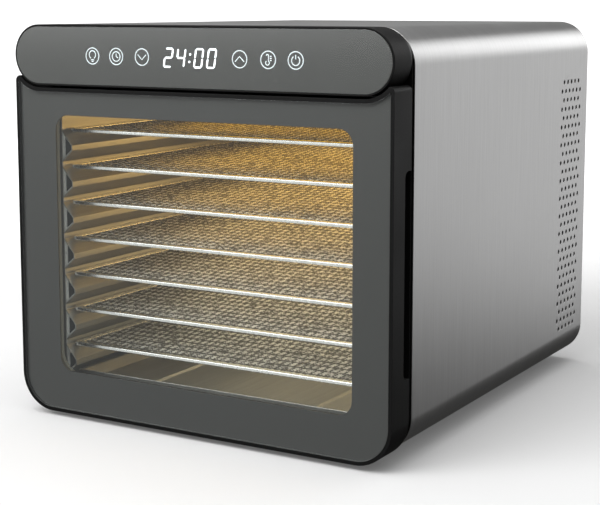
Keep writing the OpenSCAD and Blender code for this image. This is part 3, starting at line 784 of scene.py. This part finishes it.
weaveNodes = weaveTree("weave")
rimMesh = trayRim()
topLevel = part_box("tray_7_frame")[0].z
for n in trayNumbers:
    body = f"tray_{n}"
    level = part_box(f"tray_{n}_frame")[0].z - topLevel
    mesh = rimMesh.copy()
    mesh.transform(Matrix.Translation((0, 0, level)))
    rim = addPiece(f"tray_{n}_rim", mesh, "trayRim", body)
    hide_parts(f"tray_{n}_frame")
    low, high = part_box(f"tray_{n}_mesh")
    width, depth = [size + 2 * weave["tuck"] * mm for size in (high.x - low.x, high.y - low.y)]
    cloth = grown(weaveNodes, bpy.data.meshes.new("seed"), f"tray_{n}_weave", {
        "Width": width, "Depth": depth, "Wire": weave["wire"] * mm,
        "Front": (low.y + high.y) / 2, "Height": (low.z + high.z) / 2 + weave["lift"] * mm,
        "Across": round(width / weave["pitch"] / mm) + 1, "Along": round(depth / weave["pitch"] / mm) + 1,
        "Material": finishes["trayWeave"]})
    piece = addPiece(f"tray_{n}_weave", cloth, "trayWeave", body)
    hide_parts(f"tray_{n}_mesh")
print("trays ready:", len(cloth.polygons), "faces in a weave")

# ---- chamber and inner parts ----

ridge = {
    "profile": ((-25.1, 0), (-16.3, 1), (-12.3, 1), (-0.5, 0)),     # height from the tray, share of the reach
    "reach": 9.2, "thick": 2.6, "inset": 1.2, "slope": 2.2,
    "wallDepth": 9, "skin": 0.8, "lip": 1.3, "step": 0.3, "dish": 1.6,
}


def ridgeEnds(side):                        # closes the front end of each pressed ridge with a dished cap, its lip given a painted highlight and its cap a painted dark reflection
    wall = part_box("chamber_right_wall" if side > 0 else "chamber_left_wall")
    root = max(abs(wall[0].x), abs(wall[1].x)) - (ridge["wallDepth"] - ridge["skin"]) * mm
    bm = bmesh.new()
    for n in trayNumbers:
        low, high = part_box(f"tray_{n}_frame")
        level = (low.z + high.z) / 2
        rings = []
        for depth in (0, ridge["thick"] * mm):
            ring = []
            for drop, out in ridge["profile"]:
                x = side * (root - out * ridge["reach"] * mm)
                y = wall[0].y + ridge["inset"] * mm + depth + out * ridge["slope"] * mm
                ring.append(bm.verts.new((x, y, level + drop * mm)))
            rings.append(ring)
        near, far = rings
        bm.faces.new(far[::-1])
        for i in range(4):
            bm.faces.new((near[i], far[i], far[(i + 1) % 4], near[(i + 1) % 4]))
        cap = bm.faces.new(near)
        bm.normal_update()
        for width in (ridge["lip"], ridge["step"]):
            bmesh.ops.inset_region(bm, faces=[cap], thickness=width * mm, use_even_offset=True)
        for vertex in cap.verts:
            vertex.co.y += ridge["dish"] * mm
        cap.material_index = 1
    bmesh.ops.recalc_face_normals(bm, faces=bm.faces)
    name = "ridge_ends_right" if side > 0 else "ridge_ends_left"
    mesh = bpy.data.meshes.new(name)
    bm.to_mesh(mesh)
    bm.free()
    # the lip takes the painted highlight, the cap the painted dark reflection
    for finish in ("ridgeLipHighlight", "ridgeCapDarkReflection"):
        mesh.materials.append(finishes[finish])
    addPiece(name, mesh, None, "root")


for side in (-1, 1):
    ridgeEnds(side)
chamberEdge = edgeRadius["chamber"]
refine("chamber_left_wall", "left_ridge_wall", "chamberSteel", "root", chamberEdge, 2, False)
refine("chamber_right_wall", "right_ridge_wall", "chamberSteel", "root", chamberEdge, 2, False)
refine("drip_tray", "drip_pan", "chamberSteel", "drip_tray", chamberEdge)

keptFinishes = {
    "chamberSteel": ("chamber_top", "chamber_floor", "chamber_baffle"),
    "sheetSteel": ("base_plate", "chamber_supports", "motor_bracket"),
    "brackets": ("hinge_brackets", "heater_clips"),
    "screwSteel": ("cover_screws", "small_screws", "liner_screws", "hinge_pins", "latch_strikes",
                   "temperature_probe", "fan_shaft", "fan_nut"),
    "magnet": ("latch_magnets",),
    "board": ("display_board", "power_board"),
    "display": ("display_module", "thermal_cutout"),
    "spring": ("touch_pads",),
    "components": ("board_components",),
    "ceramic": ("board_standoffs", "lamp_holder", "terminal_block"),
    "heater": ("heater_element",),
    "motor": ("fan_motor",),
    "fan": ("fan_blade",),
    "bulb": ("lamp_bulb",),
    "lens": ("lamp_lens",),
}
for finish, names in keptFinishes.items():
    for name in names:
        dress(nodes[name], finish)
print("inner parts dressed")

# ---- floor and light ----

studio = {"flat": 12, "sweep": 4, "rise": 10, "glowFrom": 0.5, "glowTo": 1.8, "glow": (0.1, 1), "sky": 0.9}


def makeFloor():                            # a pale paper floor that sweeps up far away
    flat, sweep = studio["flat"], studio["sweep"]
    outline = [(0.02, 0), (1, 0), (4, 0)] + [
        (flat + sweep * math.sin(a), sweep - sweep * math.cos(a)) for a in [math.pi * i / 16 for i in range(9)]]
    outline.append((flat + sweep, studio["rise"]))
    bm = bmesh.new()
    line = [bm.verts.new((r, 0, z)) for r, z in outline]
    geometry = line + [bm.edges.new(pair) for pair in zip(line, line[1:])]
    bmesh.ops.spin(
        bm, geom=geometry, axis=(0, 0, 1), cent=(0, 0, 0), steps=96, angle=math.tau, use_duplicate=False)
    bmesh.ops.remove_doubles(bm, verts=bm.verts, dist=0.1 * mm)
    bmesh.ops.holes_fill(bm, edges=bm.edges)
    for item in bm.faces:
        item.smooth = True
        if item.normal.z < 0 or item.normal.dot(item.calc_center_median()) > 0.001:
            item.normal_flip()
    mesh = bpy.data.meshes.new("floor")
    bm.to_mesh(mesh)
    bm.free()
    floor = bpy.data.objects.new("floor", mesh)
    floor.location.z = cadBox[0][2]
    bpy.context.collection.objects.link(floor)
    material, tree = newMaterial("floor_paper")
    away = addNode(tree, "ShaderNodeVectorMath", {"operation": "LENGTH"}, {0: place(tree)}).out("Value")
    glow = remap(tree, away, studio["glowFrom"], studio["glowTo"], *studio["glow"])
    surface(tree, principled(tree, {
        "Base Color": blendColours(tree, noise(tree, 3, 2), (0.66, 0.66, 0.66), (0.68, 0.68, 0.68)),
        "Emission Color": blendColours(tree, glow, (0, 0, 0), (1, 1, 1)),
        "Emission Strength": 1.0,
        "Roughness": 0.9}))
    mesh.materials.append(material)
    floor.visible_glossy = False
    floor.visible_diffuse = False
    floor.visible_shadow = False


def makeWorld():
    world = bpy.data.worlds.new("studio")
    world.use_nodes = True
    tree = world.node_tree
    tree.nodes.clear()
    direction = addNode(tree, "ShaderNodeTexCoord").out("Generated")
    height = addNode(tree, "ShaderNodeSeparateXYZ", {}, {"Vector": direction}).out("Z")
    shade = stops(tree, remap(tree, height, -1, 1, 0, 1), [
        (0.0, (0.05, 0.05, 0.05)), (0.5, (0.045, 0.044, 0.042)), (0.6, (0.06, 0.06, 0.058)),
        (0.75, (0.12, 0.12, 0.118)), (0.93, (1, 1, 1))])
    light = addNode(tree, "ShaderNodeBackground", {}, {"Color": shade, "Strength": studio["sky"]})
    addNode(tree, "ShaderNodeOutputWorld", {}, {"Surface": light})
    bpy.context.scene.world = world


softBoxes = [
    # name, place, aim, size, power, colour
    ("key", (-0.5, -1.5, 2.0), (0, 0, 0.15), 1.5, 34, (1, 1, 1)),
    ("front", (-1.2, -2.0, 1.05), (0, -0.2, 0.2), 1.7, 20, (1, 1, 1)),
    ("side", (1.35, 2.5, 0.52), (0.17, 0, 0.2), 2.2, 11, (1, 1, 1)),
    ("left", (-2.2, 0.7, 0.9), (-0.17, 0, 0.15), 1.6, 7, (1, 1, 1)),
    ("bend", (0.9, 2.8, 1.1), (0.16, 0, 0.3), 1.0, 4.8, (1, 1, 1)),
    ("top", (0.1, 0.0, 2.2), (0, 0, 0), 2.0, 17, (1, 1, 1)),
]
chamberLamps = [                            # a warm one at the baffle and a pale one inside the door
    ("glow", (0.06, 0.118, 0.185), (0.03, -0.2, 0.185), (0.15, 0.17), 0.42, (1, 0.66, 0.25)),
    ("fill", (-0.02, -0.184, 0.135), (-0.03, 0.1, 0.135), (0.28, 0.21), 0.13, (0.96, 1, 1)),
]
warmth = {
    "above": 22, "size": (0.25, 0.23), "x": 0.02, "y": -0.005,
    "power": (0.07, 0.21), "colour": ((1, 0.9, 0.62), (1, 0.5, 0)),     # at the lowest and the highest tray
}


def between(low, high, share):
    return low + (high - low) * share


def warmLamps():                            # a soft lamp above each tray, warmer and stronger near the top
    lamps = []
    for n in trayNumbers:
        share = (n - trayNumbers[0]) / (len(trayNumbers) - 1)
        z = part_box(f"tray_{n}_frame")[1].z + warmth["above"] * mm
        spot, below = [(warmth["x"], warmth["y"], height) for height in (z, z - 1)]
        power = between(*warmth["power"], share)
        colour = tuple(between(low, high, share) for low, high in zip(*warmth["colour"]))
        lamps.append((f"warm_{n}", spot, below, warmth["size"], power, colour))
    return lamps


def addLights(setups):
    for name, spot, aim, size, power, colour in setups:
        data = bpy.data.lights.new(name, "AREA")
        if isinstance(size, tuple):
            data.shape = "RECTANGLE"
            data.size, data.size_y = size
        else:
            data.size = size
        data.energy = power
        data.color = colour
        light = bpy.data.objects.new(name, data)
        light.location = spot
        light.rotation_euler = (Vector(aim) - Vector(spot)).to_track_quat("-Z", "Y").to_euler()
        light.visible_camera = False
        bpy.context.collection.objects.link(light)


makeFloor()
makeWorld()
addLights(softBoxes)
addLights(chamberLamps)
addLights(warmLamps())
print("studio ready")
